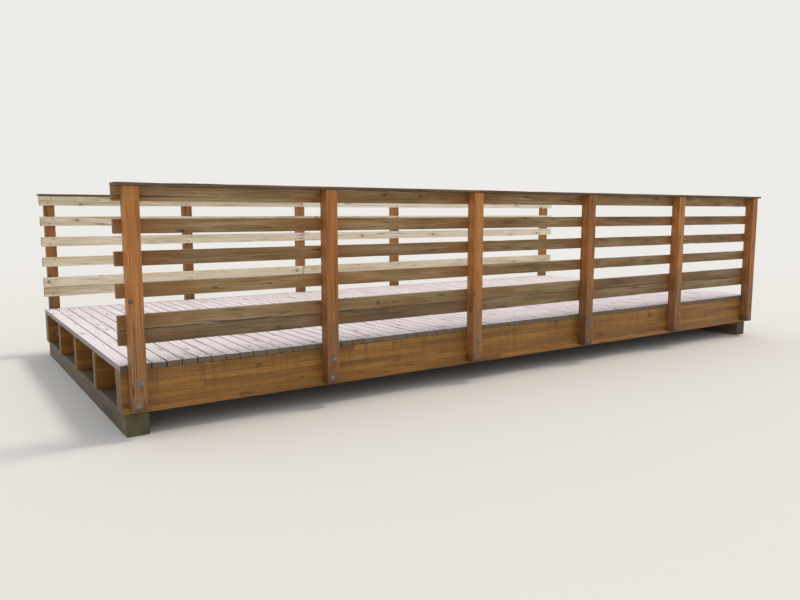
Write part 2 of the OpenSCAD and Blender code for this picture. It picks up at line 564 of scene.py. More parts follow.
def checks_of(tree, grain, patch):
    """Fine drying checks, 1 on their lines."""
    off = apart(tree, streaks(tree, grain, CHECK_LENGTH, CHECK_APART, Detail=1.0), 0.5)
    line = {"Value": off, "From Min": CHECK_OPEN, "From Max": CHECK_END, **FALLING}
    stretch = add(tree, "MapRange", {"Value": patch, "From Min": KEPT_FROM, "From Max": KEPT_ALL})
    return add(tree, "Math", [add(tree, "MapRange", line), stretch], operation="MULTIPLY")


# %% Draw the growth of a timber
# The length and width of the streaks that fibres, broad patches and hairs make
FIBRE, PATCH, HAIR = (0.5, 6 * MM), (0.7, 80 * MM), (0.3, 2.5 * MM)
# Only the highest values of their noise are hairs
HAIR_FROM, HAIR_FULL = 0.54, 0.66


def growth(tree, log=sawn_log, ring=11 * MM, knot_share=0.5):
    """Adds all that grew in the wood. Returns the nodes that finishes use, each from 0 to 1.

    ring is how far apart the rings are, and knot_share the share of patches that have a knot.
    """
    grain, board, glue = log(tree)
    fibre = streaks(tree, grain, *FIBRE, Detail=6.0, Roughness=0.72)
    patch = streaks(tree, grain, *PATCH, Detail=3.0, Roughness=0.55)
    hair = streaks(tree, grain, *HAIR, Detail=2.0, Roughness=0.5)
    hair = add(tree, "MapRange", {"Value": hair, "From Min": HAIR_FROM, "From Max": HAIR_FULL})
    branch = branches(tree, grain, knot_share)
    knot, rim = knot_and_rim(tree, grain, fibre, branch)
    lens = lens_of(tree, branch)
    return SimpleNamespace(
        board=board, glue=glue, fibre=fibre, patch=patch, hair=hair, knot=knot, rim=rim, lens=lens,
        bands=rings_of(tree, grain, lens, ring), check=checks_of(tree, grain, patch),
    )


# %% [markdown]
# ## Which way a face looks
# The bridge was brushed with a semi-transparent brown stain. Sun and rain take it off again, most of
# all on faces that look up and along the arrises, and leave grey. The cut ends drink in more of
# everything and go dark. All three are told apart by the normal, an arrow of length 1 that stands on
# the face: on an arris alone no part of it, along X, Y or Z, comes near 1.


# %% Find up faces, arrises and cut ends
def faces_of(tree, axis, up, edge):
    """How far a face looks up, lies on an arris or is a cut end, for timbers along that axis."""
    normal = add(tree, "TexCoord").outputs["Normal"]
    looks = add(tree, "SeparateXYZ", [normal]).outputs
    sides = add(tree, "VectorMath", [normal], operation="ABSOLUTE")
    sides = add(tree, "SeparateXYZ", [sides]).outputs
    flat = add(tree, "Math", [sides["X"], sides["Y"]], operation="MAXIMUM")
    flat = add(tree, "Math", [flat, sides["Z"]], operation="MAXIMUM")
    upward = {"Value": looks["Z"], "From Min": 0.4, "From Max": 0.95, "To Max": up}
    arris = {"Value": flat, "From Min": 0.95, "From Max": 0.8, "To Max": edge}
    cut_end = {"Value": sides[axis], "From Min": 0.6, "From Max": 0.9}
    return SimpleNamespace(
        looks=looks, sides=sides, upward=add(tree, "MapRange", upward),
        arris=add(tree, "MapRange", arris), cut_end=add(tree, "MapRange", cut_end),
    )


# %% [markdown]
# ## Stain, sun and rain
# The stain sinks into the soft early wood and less into the hard late wood, so its tone follows the
# fibres, the rings, broad patches and the board's own number. Where it has gone, the wood is grey.
# Which of the two shows at a point is one number, called bare, broken up by the fibres.

# %% Stained tones
# A tone starts here, and each pattern adds its value times its weight. The stain's three colours lie
# at these places on a ramp from 0 to 1
TONE_START = -0.30
TONE_WEIGHTS = {"board": 0.30, "bands": -0.16, "patch": 0.75, "fibre": 0.75}
TONE_PLACES = (0.18, 0.5, 0.82)


def stained_tones(tree, wood, stain):
    """The stain from dark to pale by the growth under it."""
    tone = TONE_START
    for part, weight in TONE_WEIGHTS.items():
        tone = add(tree, "Math", [getattr(wood, part), weight, tone], operation="MULTIPLY_ADD")
    ramp = add(tree, "ValToRGB", {"Fac": tone})
    elements = ramp.color_ramp.elements
    elements.new(0.5)
    for element, place, colour in zip(elements, TONE_PLACES, stain):
        element.position = place
        element.color = linear(colour)
    return ramp


print("Tone where each pattern is at its middle:", round(TONE_START + sum(TONE_WEIGHTS.values()) / 2, 2))

# %% Bare wood
# Between these values of the broad patches the stain wears off
WORN_FROM, WORN_OFF = 0.42, 0.7


def bareness(tree, wood, face, worn):
    """How far the stain has gone, from 0 to 1."""
    bare = {"Value": wood.patch, "From Min": WORN_FROM, "From Max": WORN_OFF, "To Max": worn}
    bare = add(tree, "MapRange", bare)
    # On the near rails, the pale grey that this gives faces that look up and arrises is partly a painted
    # highlight along their top edges
    for weathered in (face.upward, face.arris):
        bare = add(tree, "Math", [bare, weathered], operation="MAXIMUM")
    broken = {"Value": wood.fibre, "From Min": 0.3, "From Max": 0.6, "To Min": 0.55, "To Max": 1.1}
    broken = add(tree, "MapRange", broken)
    return add(tree, "Math", [bare, broken], operation="MULTIPLY", use_clamp=True)


# %% [markdown]
# ## A whole finish
# A finish is coats of colour over the same growth, laid in turn: the stained or greyed wood, the hairs
# and knots, the cut ends, the marks that this kind of timber carries, and last the checks, which are
# cracks and so lie through everything. Each coat has a place where it lies, from 0 to 1, how strong it
# is there, and its colour. Where several things have to hold at once, their places are multiplied. Late
# wood and fibres stand up where rain has washed the soft wood back, and checks sink, which a bump makes.

# %% Make a finish for timbers
# Fibres have height 1 in the bump, late wood and checks these heights, and the bump this strength
LATE_WOOD_HEIGHT, CHECK_HEIGHT, BUMP = 0.35, -2.0, 0.7
# Raised fibres break up the gloss, so it is weaker than a smooth coat's 0.5
GLOSS = 0.35


def timber_finish(
    name, stain, grey, end, axis, up=0.5, worn=0.3, edge=0.5, rough=(0.55, 0.85), relief=1.0, cracked=0.7,
    marks=(), **grown
):
    """A weathered wood. stain and grey are its tones from dark to pale, and end those of its cut ends.
    """
    material, tree, shader = new_material(name)
    wood = growth(tree, **grown)
    face = faces_of(tree, axis, up, edge)
    bare = bareness(tree, wood, face, worn)
    greyed = {"Factor": wood.fibre, 6: linear(grey[0]), 7: linear(grey[1])}
    ends = {"Factor": wood.bands, 6: linear(end[0]), 7: linear(end[1])}

    coats = [
        (bare, 1.0, add(tree, "Mix", greyed, data_type="RGBA")),
        (wood.hair, 0.4, linear(stain[0])),
        (wood.knot, 0.5, linear(end[0])),
        (wood.rim, 1.0, linear(end[0])),
        (wood.lens, 0.3, linear(stain[0])),
        (face.cut_end, 1.0, add(tree, "Mix", ends, data_type="RGBA")),
        *[mark(tree, wood, face) for mark in marks],
        (wood.check, cracked, linear("#1d150f")),
    ]
    colour = stained_tones(tree, wood, stain)
    for share, *factors, coat in coats:
        for factor in factors:
            share = add(tree, "Math", [share, factor], operation="MULTIPLY")
        colour = add(tree, "Mix", {"Factor": share, 6: colour, 7: coat}, data_type="RGBA")
    tree.links.new(colour.outputs[2], shader.inputs["Base Color"])

    dull = add(tree, "MapRange", {"Value": bare, "To Min": rough[0], "To Max": rough[1]})
    tree.links.new(dull.outputs[0], shader.inputs["Roughness"])
    shader.inputs["Specular IOR Level"].default_value = GLOSS
    height = wood.fibre
    for part, lift in ((wood.bands, LATE_WOOD_HEIGHT), (wood.check, CHECK_HEIGHT)):
        height = add(tree, "Math", [part, lift, height], operation="MULTIPLY_ADD")
    bump = add(tree, "Bump", {"Height": height, "Strength": BUMP, "Distance": relief * MM})
    tree.links.new(bump.outputs["Normal"], shader.inputs["Normal"])
    return material


# %% [markdown]
# ## Marks of iron
# Weathered wood tells what is fixed to it. Iron in the screws turns the tannin round them blue-black,
# and rain draws the rust of a bolt down the post as a run. Each mark is a function that gives one more
# coat: the place or places where it lies, its strength and its colour. A mark on wood never ends in a
# clean line, because it creeps further along some fibres, so the growth moves its edge.
#
# The screws stand in even rows, so their stains need no list of places. The distance to the nearest
# row is the place folded back and forth between the rows, which is what Math's Ping-Pong does.


# %% Fade a mark and round off a screw stain
def faded(tree, far, growth, by, full, gone):
    """1 as far out as full and 0 from gone on. The growth brings both in by up to that much."""
    ragged = add(tree, "Math", [growth, by, far], operation="MULTIPLY_ADD")
    fade = {"Value": ragged, "From Min": full, "From Max": gone, **FALLING}
    return add(tree, "MapRange", fade)


def to_nearest_row(tree, place, first, step):
    """The distance to the nearest of many evenly spaced rows, one of which is at first."""
    past = add(tree, "Math", [place, first], operation="SUBTRACT")
    return add(tree, "Math", [past, step / 2], operation="PINGPONG")


def screw_stain(tree, wood, across, along):
    """Rounds where two distances are both small. They fade out by about 9 mm."""
    spread = add(tree, "CombineXYZ", {"X": across, "Y": along})
    spread = add(tree, "VectorMath", [spread], operation="LENGTH")
    return faded(tree, spread, wood.fibre, by=8 * MM, full=7 * MM, gone=13 * MM)


# %% Stains round screws
def deck_iron(tree, wood, face):
    """Iron stains round the deck screws, two on each board over each girder and stringer."""
    across = add(tree, "Math", [timber_place(tree)["X"]], operation="ABSOLUTE")
    across = apart(tree, across, DECK_SCREW)
    along = to_nearest_row(tree, bridge_place(tree)["Y"], MEMBER_Y[0], MEMBER_STEP)
    return screw_stain(tree, wood, across, along), 0.6, linear("#4d4644")


def rail_iron(tree, wood, face):
    """Iron stains round a rail's two screws at each post, one low on the left and one high on the right."""
    x, rise = bridge_place(tree)["X"], timber_place(tree)["Z"]
    along = apart(tree, to_nearest_row(tree, x, POST_X[0], POST_STEP), RAIL_SCREW.x)
    up = add(tree, "Math", [rise], operation="ABSOLUTE")
    rounds = screw_stain(tree, wood, along, apart(tree, up, RAIL_SCREW.z))
    # Wrap keeps the sign of the distance to the nearest post. With the height's sign it picks two corners
    past = add(tree, "Math", [x, POST_X[0]], operation="SUBTRACT")
    past = add(tree, "Math", [past, POST_STEP / 2, -POST_STEP / 2], operation="WRAP")
    corner = add(tree, "Math", [past, rise], operation="MULTIPLY")
    corner = add(tree, "Math", [corner, 0.0], operation="GREATER_THAN")
    return rounds, corner, 0.55, linear("#2f2723")


# %% Runs below bolts
# A run is full this far below its bolt, and has faded out by this far below it
RUN_FULL, RUN_END = 15 * MM, 110 * MM


def bolt_run(tree, wood, aside, bolt_z):
    """The rusty mark that rain leaves below one bolt. It fades downwards."""
    height = bridge_place(tree)["Z"]
    off = apart(tree, timber_place(tree)["X"], aside)
    narrow = faded(tree, off, wood.fibre, by=10 * MM, full=9 * MM, gone=20 * MM)
    fading = {"Value": height, "From Min": bolt_z - RUN_END, "From Max": bolt_z - RUN_FULL}
    run = add(tree, "Math", [narrow, add(tree, "MapRange", fading)], operation="MULTIPLY")
    below = add(tree, "Math", [height, bolt_z], operation="LESS_THAN")
    return add(tree, "Math", [run, below], operation="MULTIPLY")


def bolt_runs(tree, wood, face):
    """Rusty marks down a post below its bolts."""
    low, high = [bolt_run(tree, wood, aside, girder_low.z + rise) for aside, rise in POST_BOLTS]
    return add(tree, "Math", [low, high], operation="MAXIMUM"), 0.6, linear("#5a3520")


print("Runs start", [round(girder_low.z + rise, 3) for aside, rise in POST_BOLTS], "m above the floor")

# %% [markdown]
# ## Marks of rain and dirt, and painted light and shade
# Rain that drips off the deck runs down the girders in streaks, and splashes dirt up onto the lowest
# rails and the lower halves of the posts, where painted shade darkens them as well. Dirt and painted
# shade darken the gaps between the boards and their undersides, and a darker strip runs along the deck
# under the rails. A film of algae grows low down, where the wood stays damp. The foot of a post stays
# dark, because drops hang on its cut end. Near each post the rails carry painted sunlight, a warmer
# orange.

# %% Drips and glue lines on the girders
# The length and width of a drip's streak
DRIP = (0.6, 42 * MM)


def deck_drips(tree, wood, face):
    """Streaks that run down the girders' outer faces from the ends of the deck boards."""
    place = bridge_place(tree)
    drips = add(tree, "CombineXYZ", {"X": place["Z"], "Y": place["X"]})
    drips = streaks(tree, drips, *DRIP, Detail=3.0, Roughness=0.6)
    drips = add(tree, "MapRange", {"Value": drips, "From Min": 0.46, "From Max": 0.68})
    fading = {"Value": place["Z"], "From Min": girder_low.z, "From Max": girder_high.z, "To Min": 0.1}
    return face.sides["Y"], add(tree, "MapRange", fading), drips, 0.5, linear("#54391f")


def glue_lines(tree, wood, face):
    """The thin dark lines between the layers of a glued beam, and not on its top and underside."""
    upright = add(tree, "Math", [1.0, face.sides["Z"]], operation="SUBTRACT", use_clamp=True)
    return wood.glue, upright, 0.6, linear("#3d2716")


# %% Dirt and painted shade under the boards, and a darker strip under the rails
# The darker strip starts this far inside the middle of a girder, and is full this far outside it
STRIP_START, STRIP_FULL = 120 * MM, 50 * MM


def patches(tree, size, start, full, **look):
    """Patches of about that size that don't follow the grain, between two values of their noise."""
    place = add(tree, "TexCoord").outputs["Object"]
    patchy = add(tree, "TexNoise", {"Vector": place, "Scale": 1 / size, **look})
    return add(tree, "MapRange", {"Value": patchy, "From Min": start, "From Max": full})


def gap_dirt_and_shade(tree, wood, face):
    """Dirt and painted shade on the sides and undersides of the deck boards, where sun and wear never
    reach.
    """
    down = add(tree, "MapRange", {"Value": face.looks["Z"], "From Min": -0.3, "From Max": -0.8})
    side = add(tree, "MapRange", {"Value": face.sides["X"], "From Min": 0.55, "From Max": 0.95})
    return add(tree, "Math", [down, side], operation="MAXIMUM"), 0.75, linear("#6a5d51")


def deck_edge_strip(tree, wood, face):
    """A darker strip in patches along both edges of the deck, under the lowest rails."""
    edge = add(tree, "Math", [bridge_place(tree)["Y"]], operation="ABSOLUTE")
    girder_y = MEMBER_Y[-1]
    edge = {"Value": edge, "From Min": girder_y - STRIP_START, "From Max": girder_y + STRIP_FULL}
    patchy = patches(tree, 110 * MM, 0.42, 0.62, Detail=4.0)
    return add(tree, "MapRange", edge), patchy, 0.22, linear("#7d7260")


# %% Splashes with painted shade, and algae
# Splashed dirt and painted shade are thick up to the first height above the deck and gone by the
# second, or lower where the fibres bring both down
SPLASH_SHADE_THICK, SPLASH_SHADE_GONE = 0.15, 0.5
# Algae thin out up to this height
ALGAE_HEIGHT = 1.5


def splash_dirt_and_shade(tree, wood, face):
    """Dirt that splashes up from the deck, and painted shade. Both are thickest low down."""
    height = bridge_place(tree)["Z"]
    full, gone = DECK_TOP + SPLASH_SHADE_THICK, DECK_TOP + SPLASH_SHADE_GONE
    return faded(tree, height, wood.fibre, 150 * MM, full, gone), 0.45, linear("#54483a")


def algae(tree, wood, face):
    """A thin green-grey film in patches, strongest low down."""
    low_down = {"Value": bridge_place(tree)["Z"], "From Max": ALGAE_HEIGHT, "To Min": 1.0, "To Max": 0.2}
    film = patches(tree, 310 * MM, 0.47, 0.66, Detail=5.0, Roughness=0.6)
    return add(tree, "MapRange", low_down), film, 0.4, linear("#6e6c44")


print("Splashes reach", round(DECK_TOP + SPLASH_SHADE_GONE, 3), "m above the floor")

# %% Damp feet, and painted sunlight by the posts
# The wood is dark up to the first height above a post's foot and dry from the second, or higher where
# damp has crept up the fibres
FOOT_DARK, FOOT_DRY = -20 * MM, 60 * MM
# The rails carry painted sunlight up to the first distance from a post's middle and none from the
# second, or nearer where the broad patches bring both in
LIT_FULL, LIT_GONE = 0.3, 0.62


def damp_foot(tree, wood, face):
    """The foot of a post, where the wood stays dark."""
    height = bridge_place(tree)["Z"]
    full, gone = POST_FOOT + FOOT_DARK, POST_FOOT + FOOT_DRY
    return faded(tree, height, wood.fibre, -60 * MM, full, gone), 0.6, linear("#4a2f1d")


def sunlit_tone_by_posts(tree, wood, face):
    """Painted sunlight: a warmer, orange tone on the rails near a post."""
    along = to_nearest_row(tree, bridge_place(tree)["X"], POST_X[0], POST_STEP)
    return faded(tree, along, wood.patch, 0.5, LIT_FULL, LIT_GONE), 0.5, linear("#96602f")


# %% [markdown]
# ## The finish of each kind of timber
# All the timbers are softwood. What sets them apart is how they were sawn or glued, how much stain they
# still hold, and how much sun, rain and dirt they get. The rails and the cap also carry painted light
# and shade. Each finish gives the three tones of its stain, the two of its bare wood and the two of its
# cut ends.

# %% Rails and cap
# Sawn pine under a brown stain that has worn thin, streaked along the grain. Its dull brown is painted
# shade: these are the rails' colours as they stand in the shade of trees. Their grey on faces that look
# up and on arrises is weathering made paler as a painted highlight, and near the posts they carry
# painted sunlight
shaded_rail_wood = timber_finish(
    "sawn_pine_brown_stain_worn_in_painted_shade", axis="X",
    stain=("#4b361d", "#8a683c", "#b08d5a"), grey=("#a3967c", "#dcd2ba"), end=("#4a3a2a", "#6f5a42"),
    up=0.85, worn=0.25, marks=(sunlit_tone_by_posts, splash_dirt_and_shade, algae, rail_iron),
)
# The far guard's rails are a lit copy of the near rails' finish: their pale straw colour is painted
# sunlight, as they stand in full sun
sunlit_rail_wood = timber_finish(
    "sawn_pine_brown_stain_painted_sunlit", axis="X",
    stain=("#a8946d", "#e8d8b8", "#f8efda"), grey=("#dbd1ba", "#f6f0e2"), end=("#5c4b38", "#806a50"),
    up=0.85, worn=0.5, marks=(rail_iron,),
)
# The flat cap takes the most sun: its top has gone grey. Its edges keep a dark brown, made darker by
# painted shade, as the guard stands under trees
cap_wood = timber_finish(
    "sawn_pine_cap_greyed_by_sun", axis="X",
    stain=("#32261e", "#5a4537", "#7a634e"), grey=("#776c61", "#a0968a"), end=("#3a2e26", "#5a4838"),
    up=0.85, worn=0.15, edge=0.25, marks=(algae,),
)
print("Nodes in the rails' finish:", len(shaded_rail_wood.node_tree.nodes))

# %% Posts, girders and blocks
# The posts were stained a warmer colour and stand upright, where rain runs off: they are still orange
post_wood = timber_finish(
    "sawn_post_timber_orange_stain", axis="Z",
    stain=("#693f1e", "#a6682f", "#ca8b4a"), grey=("#8f6b49", "#b59168"), end=("#4a3122", "#6d4a31"),
    up=0.8, worn=0.2, edge=0.35, ring=14 * MM, marks=(splash_dirt_and_shade, damp_foot, bolt_runs),
)
# Planed and glued layers under a semi-gloss stain: smooth, orange-brown, with fine lines between them
girder_wood = timber_finish(
    "planed_glued_layers_orange_brown_stain", axis="X",
    stain=("#603c17", "#906122", "#b27d34"), grey=("#81613e", "#a28157"), end=("#4b3320", "#72502f"),
    up=0.5, worn=0.2, edge=0.35, rough=(0.45, 0.75), relief=0.5, log=glued_log, ring=14 * MM,
    knot_share=0.15, marks=(deck_drips, glue_lines),
)
# Blocks under the deck are dry and shaded, so their brown stain is nearly whole
block_wood = timber_finish(
    "sawn_pine_blocks_brown_stain", axis="Y",
    stain=("#4f3a20", "#8f6c3e", "#ab8955"), grey=("#7a6b54", "#988a72"), end=("#4a3a2a", "#6f5a42"),
)
print("Nodes in the girders' finish:", len(girder_wood.node_tree.nodes))

# %% Deck and sills
# Bare pine that sun and wear have bleached to a pale lilac grey, rough as felt, with dark damp ends
deck_wood = timber_finish(
    "bare_pine_deck_bleached_by_sun", axis="Y",
    stain=("#ab9c9c", "#ebdee1", "#f6eef1"), grey=("#d4c9cb", "#f6eef1"), end=("#574a3a", "#7d6c55"),
    up=0.8, worn=0.3, edge=0.6, rough=(0.75, 0.9), cracked=0.5, marks=(gap_dirt_and_shade, deck_edge_strip, deck_iron),
)
# Timber that was soaked in preservative to carry the bridge low down: dull, dark and dirty
sill_wood = timber_finish(
    "sawn_sill_timber_soaked_in_preservative", axis="Y",
    stain=("#33291f", "#6a5745", "#857058"), grey=("#5f564a", "#7e7465"), end=("#3a2e24", "#5c4b3a"),
    marks=(algae,),
)
print("Finishes of wood:", len(bpy.data.materials))

# %% [markdown]
# ## Building the timbers
# Every CAD node gets one piece that stands for it. The pith of the log tells how a timber was sawn: a
# post is cut round the pith, so it shows straight lines on all faces, and a board is cut well away from
# it, so its rings make wide arches. Deck boards dry into a slight hollow, which is their cup.

# %% Build the timbers
# How wide the arrises are: on rails, caps and blocks, on posts and deck boards, and on beams
BOARD_ARRIS, POST_ARRIS, BEAM_ARRIS = 2.5 * MM, 3 * MM, 5 * MM
# The near rails take the finish in painted shade, and the far rails the lit copy in painted sunlight
for side, wood in (("near", shaded_rail_wood), ("far", sunlit_rail_wood)):
    for rail in RAILS:
        node = f"{side}_{rail}"
        timber_piece(node, wood, "rail_timber", arris=BOARD_ARRIS, pith=(0.03, 0.11), ragged=1.5 * MM)
    timber_piece(f"{side}_cap", cap_wood, "cap_timber", arris=BOARD_ARRIS, pith=(0.04, 0.12), cup=0.8 * MM)
    for post in POSTS:
        node = post.replace("near", side)
        timber_piece(node, post_wood, "post_timber", arris=POST_ARRIS, pith=(0.0, 0.05))
for member in MEMBERS:
    timber_piece(member, girder_wood, "girder_timber", arris=BEAM_ARRIS, pith=(0.1, 0.15))
for end in ("left", "middle", "right"):
    timber_piece(f"{end}_blocking", block_wood, "blocking_timber", arris=BOARD_ARRIS, pith=(0.03, 0.1))
for bay in BAYS:
    timber_piece(
        bay, deck_wood, "deck_timber", arris=POST_ARRIS, pith=(0.03, 0.12), cup=0.7 * MM, ragged=4 * MM
    )
for end in ("left", "right"):
    timber_piece(f"{end}_sill", sill_wood, "sill_timber", arris=BEAM_ARRIS, pith=(0.0, 0.02))

# %% [markdown]
# ## Steel that holds it together
# Guard posts are bolted right through the edge girder, with a washer under the head and another under
# the nut, so that the soft wood isn't crushed. Rails, cap and deck boards are held by screws. Their
# heads are 8 to 9 mm across, so each is a low cone of ten sides with a pressed-in drive: few faces, as
# there are about a thousand of them. A cone is made, its top is inset for the drive, and the small
# inner face is pushed down.

# %% Screw heads
# A head's sides, how wide its top is and how wide the rim round its drive, as shares of its radius
HEAD_SIDES, TOP_SHARE, RIM_SHARE = 10, 0.82, 0.38
# How deep the head sits in the wood, and how deep its drive is
SUNK, DRIVE = 3 * MM, 1.2 * MM


def turned_part(sides, radius, top_radius, height, sunk):
    """A round or many-sided part along Z that stands from -sunk to height, and its top face."""
    bm = bmesh.new()
    bmesh.ops.create_cone(
        bm, cap_ends=True, segments=sides, radius1=radius, radius2=top_radius, depth=height + sunk
    )
    bmesh.ops.translate(bm, vec=(0.0, 0.0, (height - sunk) / 2), verts=bm.verts)
    return bm, max(bm.faces, key=lambda face: face.calc_center_median().z)


def screw_head(radius, height):
    """A screw head that stands a little proud of the wood, with a pressed-in drive."""
    bm, top = turned_part(HEAD_SIDES, radius, TOP_SHARE * radius, height, SUNK)
    bmesh.ops.inset_region(bm, faces=[top], thickness=RIM_SHARE * radius)
    bmesh.ops.translate(bm, vec=(0.0, 0.0, -DRIVE), verts=top.verts)
    return to_mesh("screw_head", bm)


rail_screw = screw_head(4.5 * MM, 1.2 * MM)
deck_screw = screw_head(4.0 * MM, 0.6 * MM)
print("Faces on a screw head:", len(rail_screw.polygons))

# %% [markdown]
# ## A bolt's two ends
# A half-inch bolt has a six-sided head 19 mm across its flats and 8 mm high, on a round washer. Its
# other end has a washer and a nut, with a few turns of the thread left over. All are cones with their
# top edges bevelled.


# %% Bolt heads, nuts and washers
def stacked(name, parts):
    """One mesh of parts along Z. Each is its sides, radius, the heights it lies between and its chamfer."""
    whole = bmesh.new()
    for sides, radius, bottom, height, chamfer in parts:
        bm, top = turned_part(sides, radius, radius, height, -bottom)
        bmesh.ops.bevel(
            bm, geom=list(top.edges), offset=chamfer, offset_type="OFFSET", affect="EDGES", segments=1,
            profile=0.5, material=-1,
        )
        part = to_mesh("part", bm)
        whole.from_mesh(part)
        bpy.data.meshes.remove(part)
    return to_mesh(name, whole)


# A hexagon's corners are 2 / sqrt(3) as far out as its flats
HEX_RADIUS = 9.5 * MM * 2 / math.sqrt(3)
WASHER = (20, 17.5 * MM, -2 * MM, 2.6 * MM, 0.6 * MM)
HEAD = (6, HEX_RADIUS, 2.0 * MM, 10.6 * MM, 1.2 * MM)
NUT = (6, HEX_RADIUS, 2.0 * MM, 13.6 * MM, 1.2 * MM)
THREAD_END = (12, 6.3 * MM, 10.0 * MM, 19.0 * MM, 1.0 * MM)
bolt_head = stacked("bolt_head", [WASHER, HEAD])
bolt_nut = stacked("bolt_nut", [WASHER, NUT, THREAD_END])
print("Faces on a bolt head and washer:", len(bolt_head.polygons), "- on a nut:", len(bolt_nut.polygons))

# %% [markdown]
# ## Galvanised and coated steel
# Bolts and washers are hot-dip galvanised: steel dipped in molten zinc, which sets in crystals that
# catch the light and dull to a soft grey. The screws have a thin brown coating that wears off at the
# rim and lets a little rust through.

# %% Steel finishes
# The size of a patch of rust, and how far its noise goes from none to full
RUST_PATCH, RUST_BLUR = 14 * MM, 0.1
# How metallic the dulled steel and its rust are
METAL, RUST = 0.85, 0.1
# The darkest crystals are this much smoother than the middle ones, and the palest as much rougher
ROUGH_SPREAD = 0.08


def steel_finish(name, tones, rust, rough, crystal):
    """A weathered metal. tones are its darker and paler crystals, and crystal is their size."""
    material, tree, shader = new_material(name)
    place = add(tree, "TexCoord").outputs["Object"]
    crystals = add(tree, "TexVoronoi", {"Vector": place, "Scale": 1 / crystal})
    split = add(tree, "SeparateColor", [crystals.outputs["Color"]])
    colour = {"Factor": split, 6: linear(tones[0]), 7: linear(tones[1])}
    colour = add(tree, "Mix", colour, data_type="RGBA")
    bloom = patches(tree, RUST_PATCH, rust, rust + RUST_BLUR, Detail=4.0, Roughness=0.65)
    colour = add(tree, "Mix", {"Factor": bloom, 6: colour, 7: linear("#6a3d22")}, data_type="RGBA")
    tree.links.new(colour.outputs[2], shader.inputs["Base Color"])
    metal = add(tree, "MapRange", {"Value": bloom, "To Min": METAL, "To Max": RUST})
    tree.links.new(metal.outputs[0], shader.inputs["Metallic"])
    dull = {"Value": split, "To Min": rough - ROUGH_SPREAD, "To Max": rough + ROUGH_SPREAD}
    dull = add(tree, "MapRange", dull)
    tree.links.new(dull.outputs[0], shader.inputs["Roughness"])
    return material


# Zinc crystals are 5 to 15 mm across
galvanised = steel_finish("hot_dip_galvanised_steel_dulled", ("#6f7273", "#989b9b"), 0.58, 0.58, 8 * MM)
coated = steel_finish("brown_coated_screw_steel_worn", ("#4a4038", "#6d6255"), 0.56, 0.55, 3 * MM)
print("Finishes:", len(bpy.data.materials))


# %% Set copies of a part on the bridge
def set_parts(name, parts, material, rng):
    """One piece of many copies. Each part is a mesh, a point on the wood and the way that it faces."""
    bm = bmesh.new()
    for mesh, point, normal in parts:
        copy = mesh.copy()
        facing = Vector(normal).to_track_quat("Z", "Y").to_matrix().to_4x4()
        spin = Matrix.Rotation(rng.uniform(0.0, math.tau), 4, "Z")
        copy.transform(Matrix.Translation(point) @ facing @ spin)
        bm.from_mesh(copy)
        bpy.data.meshes.remove(copy)
    new_piece(name, bm, material)


# %% Bolts through the posts
rng = random.Random("hardware")
for side, inward in SIDES.items():
    post_low, post_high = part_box(f"{side}_post_1")
    head_y = post_low[1] if inward > 0 else post_high[1]
    nut_y = MEMBER_Y[0 if inward > 0 else -1] + inward * (girder_high.y - girder_low.y) / 2
    bolts = []
    for x in POST_X:
        for aside, rise in POST_BOLTS:
            z = girder_low.z + rise
            bolts.append((bolt_head, (x + aside, head_y, z), (0.0, -inward, 0.0)))
            bolts.append((bolt_nut, (x + aside, nut_y, z), (0.0, inward, 0.0)))
    set_parts(f"{side}_post_bolts", bolts, galvanised, rng)
print("Bolts on each side:", len(bolts) // 2)

# %% [markdown]
# ## Screws in the rails and the cap
# A rail has two screws into each post, one high and one low so that they don't split it along one line
# of grain. Where two lengths meet over a post, each end has its own pair. The cap has two as well,
# again doubled where its lengths meet, and one between posts into the top rail. Screws are driven by
# eye, so each is set a millimetre or two off its mark.

# %% Find the screws of a board at its posts
OFF_MARK = 1.5 * MM
# A joint this close to a post's middle is over that post
AT_JOINT = 10 * MM
# Steps along and across a board from the middle of the post to its screws
FOUR = ((-1, -1), (-1, 1), (1, -1), (1, 1))
RAIL_PAIR = ((-1, -1), (1, 1))
CAP_PAIR = ((0, -1), (0, 1))


def off_mark(rng):
    """A small error in where a screw is driven."""
    return rng.uniform(-OFF_MARK, OFF_MARK)


def steps_at_posts(node, pair):
    """Each post's place along a board of two lengths, with the steps to one of its screws."""
    left, right = timbers_of(node)
    joint = (left[1].x + right[0].x) / 2
    for x in POST_X:
        for aside, across in FOUR if abs(x - joint) < AT_JOINT else pair:
            yield x, aside, across


print("Screws in a rail:", len(list(steps_at_posts("near_top_rail", RAIL_PAIR))))


# %% Rail and cap screws
CAP_SCREW = Vector((16 * MM, 20 * MM, 0.0))
UPWARD = (0.0, 0.0, 1.0)


def rail_screws_of(node, inward, rng):
    """The screws of one rail, on its face towards the walkway."""
    middle_z = middle_of(node).z
    face_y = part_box(node)[1 if inward > 0 else 0][1]
    screws = []
    for x, aside, rise in steps_at_posts(node, RAIL_PAIR):
        screw_x = x + aside * RAIL_SCREW.x + off_mark(rng)
        screw_z = middle_z + rise * RAIL_SCREW.z + off_mark(rng)
        screws.append((rail_screw, (screw_x, face_y, screw_z), (0.0, inward, 0.0)))
    return screws


def cap_screws_of(side, rng):
    """The screws of one cap, into the posts and then into the top rail."""
    cap_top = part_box(f"{side}_cap")[1][2]
    post_y = middle_of(f"{side}_post_1").y
    rail_y = middle_of(f"{side}_top_rail").y
    screws = []
    for x, aside, across in steps_at_posts(f"{side}_cap", CAP_PAIR):
        screw_x = x + aside * CAP_SCREW.x + off_mark(rng)
        screw_y = post_y + across * CAP_SCREW.y + off_mark(rng)
        screws.append((deck_screw, (screw_x, screw_y, cap_top), UPWARD))
    for k in range(2 * len(POST_X) - 2):
        x = POST_X[0] + (k + 0.5) * POST_STEP / 2
        screws.append((deck_screw, (x + off_mark(rng), rail_y + off_mark(rng), cap_top), UPWARD))
    return screws


